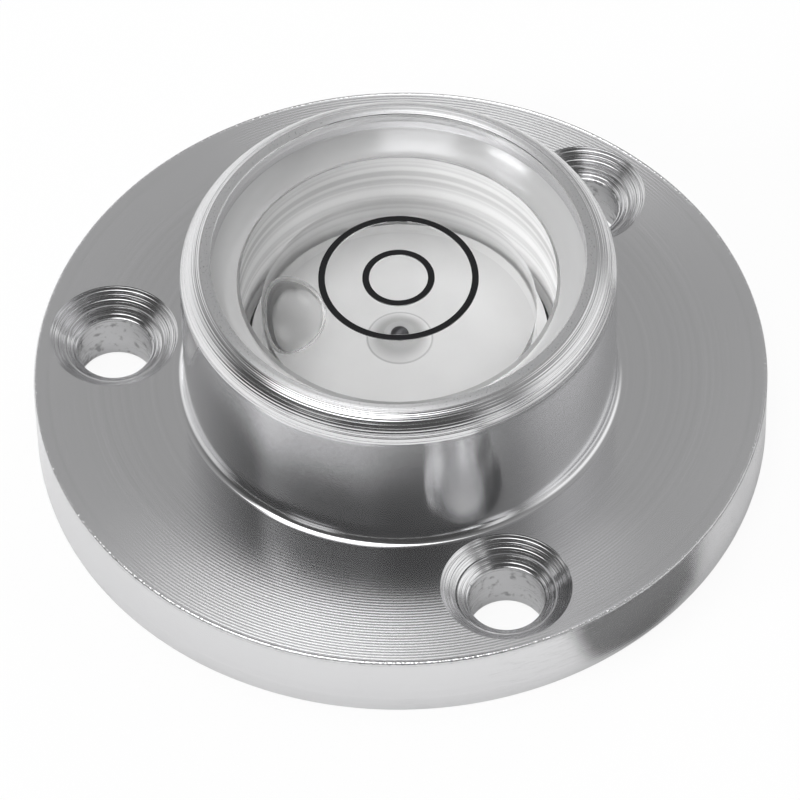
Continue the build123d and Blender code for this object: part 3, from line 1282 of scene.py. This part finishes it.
def light_world(studio):
    """Soft light, darker on the camera's side, with the named panels that the metal mirrors."""
    world = bpy.data.worlds.new("studio")
    bpy.context.scene.world = world
    world.use_nodes = True
    world.node_tree.nodes.clear()
    graph = Graph(world.node_tree)
    direction = graph.node("ShaderNodeTexCoord", {}, {}, "Generated")
    turn = studio.heading
    right = direction.dot((cos(turn), sin(turn), 0))
    back = direction.dot((-sin(turn), cos(turn), 0))
    up = direction.part("Z")

    dimmest, brightest = 0.07, 0.36
    light = (back + right * 0.5).ramp(-0.6, 0.5, dimmest, brightest)
    for name, azimuth, elevation, tilt, wide, high, soft, level in PANELS:
        spin, rise, lean = radians(azimuth), radians(elevation), radians(tilt)
        middle = right * (cos(spin) * cos(rise)) + back * (sin(spin) * cos(rise)) + up * sin(rise)
        aside = back * cos(spin) - right * sin(spin)
        above = up * cos(rise) - right * (cos(spin) * sin(rise)) - back * (sin(spin) * sin(rise))
        reach = middle.greater(0.01)
        across = (aside * cos(lean) + above * sin(lean)) / reach
        upright = (above * cos(lean) - aside * sin(lean)) / reach
        on_width = across.size().ramp(wide + soft, wide - soft)
        light = light + on_width * upright.size().ramp(high + soft, high - soft) * level
    light = light * studio.world_strength
    camera_ray = graph.node("ShaderNodeLightPath", {}, {}, "Is Camera Ray")
    shown = light * (1 - camera_ray) + camera_ray
    background = graph.node("ShaderNodeBackground", {}, {"Color": (1, 1, 1, 1), "Strength": shown})
    graph.node("ShaderNodeOutputWorld", {}, {"Surface": background})


def hang_lamps(studio):
    """The low key lamp on the left, whose shadow falls to the right, and three softer lamps."""
    turn = Matrix.Rotation(studio.heading, 4, "Z")
    for name, place, size, power_name in LAMPS:
        lamp = bpy.data.lights.new(name, "AREA")
        lamp.size = size
        lamp.energy = getattr(studio, power_name)
        holder = bpy.data.objects.new(name, lamp)
        bpy.context.scene.collection.objects.link(holder)
        spot = turn @ Vector(place)
        holder.location = spot
        holder.rotation_euler = (-spot).to_track_quat("-Z", "Y").to_euler()
        holder.visible_glossy = False


def place_camera(studio):
    """The photograph's camera: its place, its tilt and its long lens."""
    turn = Matrix.Rotation(studio.heading, 3, "Z")
    rise = studio.elevation
    forward = turn @ Vector((0, cos(rise), -sin(rise)))
    right = turn @ Vector((1, 0, 0))
    up = turn @ Vector((0, sin(rise), cos(rise)))
    place = right * studio.shift_right + up * studio.shift_up - forward * studio.distance
    level = right * cos(studio.roll) + up * sin(studio.roll)
    upright = up * cos(studio.roll) - right * sin(studio.roll)
    data = bpy.data.cameras.new("camera")
    data.sensor_width = 36.0
    data.lens = studio.focal_length
    data.clip_start = 0.01
    data.clip_end = 20.0
    camera = bpy.data.objects.new("camera", data)
    bpy.context.scene.collection.objects.link(camera)
    axes = Matrix((level, upright, -forward)).transposed()
    camera.matrix_world = Matrix.Translation(place) @ axes.to_4x4()
    bpy.context.scene.camera = camera


class BULLSEYE_PT_panel(bpy.types.Panel):
    """Lists the steps that build the level, and its sizes, colours and light"""

    bl_idname = "BULLSEYE_PT_panel"
    bl_label = "Bullseye Level"
    bl_space_type = "VIEW_3D"
    bl_region_type = "UI"
    bl_category = "Bullseye"

    def draw(self, context):
        for operator in OPERATORS:
            self.layout.operator(operator.bl_idname)
        for name, group in GROUPS.items():
            box = self.layout.box()
            box.label(text=group.__doc__)
            for value in group.__annotations__:
                box.prop(getattr(context.scene, name), value)


OPERATORS = (
    BULLSEYE_OT_turn_housing,
    BULLSEYE_OT_lay_sealant,
    BULLSEYE_OT_mould_vial,
    BULLSEYE_OT_paint_rings,
    BULLSEYE_OT_fill_vial,
    BULLSEYE_OT_close_filler,
    BULLSEYE_OT_set_stage,
)
GROUPS = {
    "bullseye_housing": HousingSizes,
    "bullseye_holes": HoleSizes,
    "bullseye_vial": VialSizes,
    "bullseye_finishes": Finishes,
    "bullseye_studio": Studio,
}


def register():
    for name, group in GROUPS.items():
        bpy.utils.register_class(group)
        setattr(bpy.types.Scene, name, PointerProperty(type=group))
    for operator in OPERATORS:
        bpy.utils.register_class(operator)
    bpy.utils.register_class(BULLSEYE_PT_panel)


def unregister():
    bpy.utils.unregister_class(BULLSEYE_PT_panel)
    for operator in reversed(OPERATORS):
        bpy.utils.unregister_class(operator)
    for name, group in GROUPS.items():
        delattr(bpy.types.Scene, name)
        bpy.utils.unregister_class(group)


def main():
    register()
    bpy.ops.bullseye.turn_housing()
    bpy.ops.bullseye.lay_sealant()
    bpy.ops.bullseye.mould_vial()
    bpy.ops.bullseye.paint_rings()
    bpy.ops.bullseye.fill_vial()
    bpy.ops.bullseye.close_filler()
    bpy.ops.bullseye.set_stage()


if __name__ == "__main__":
    main()
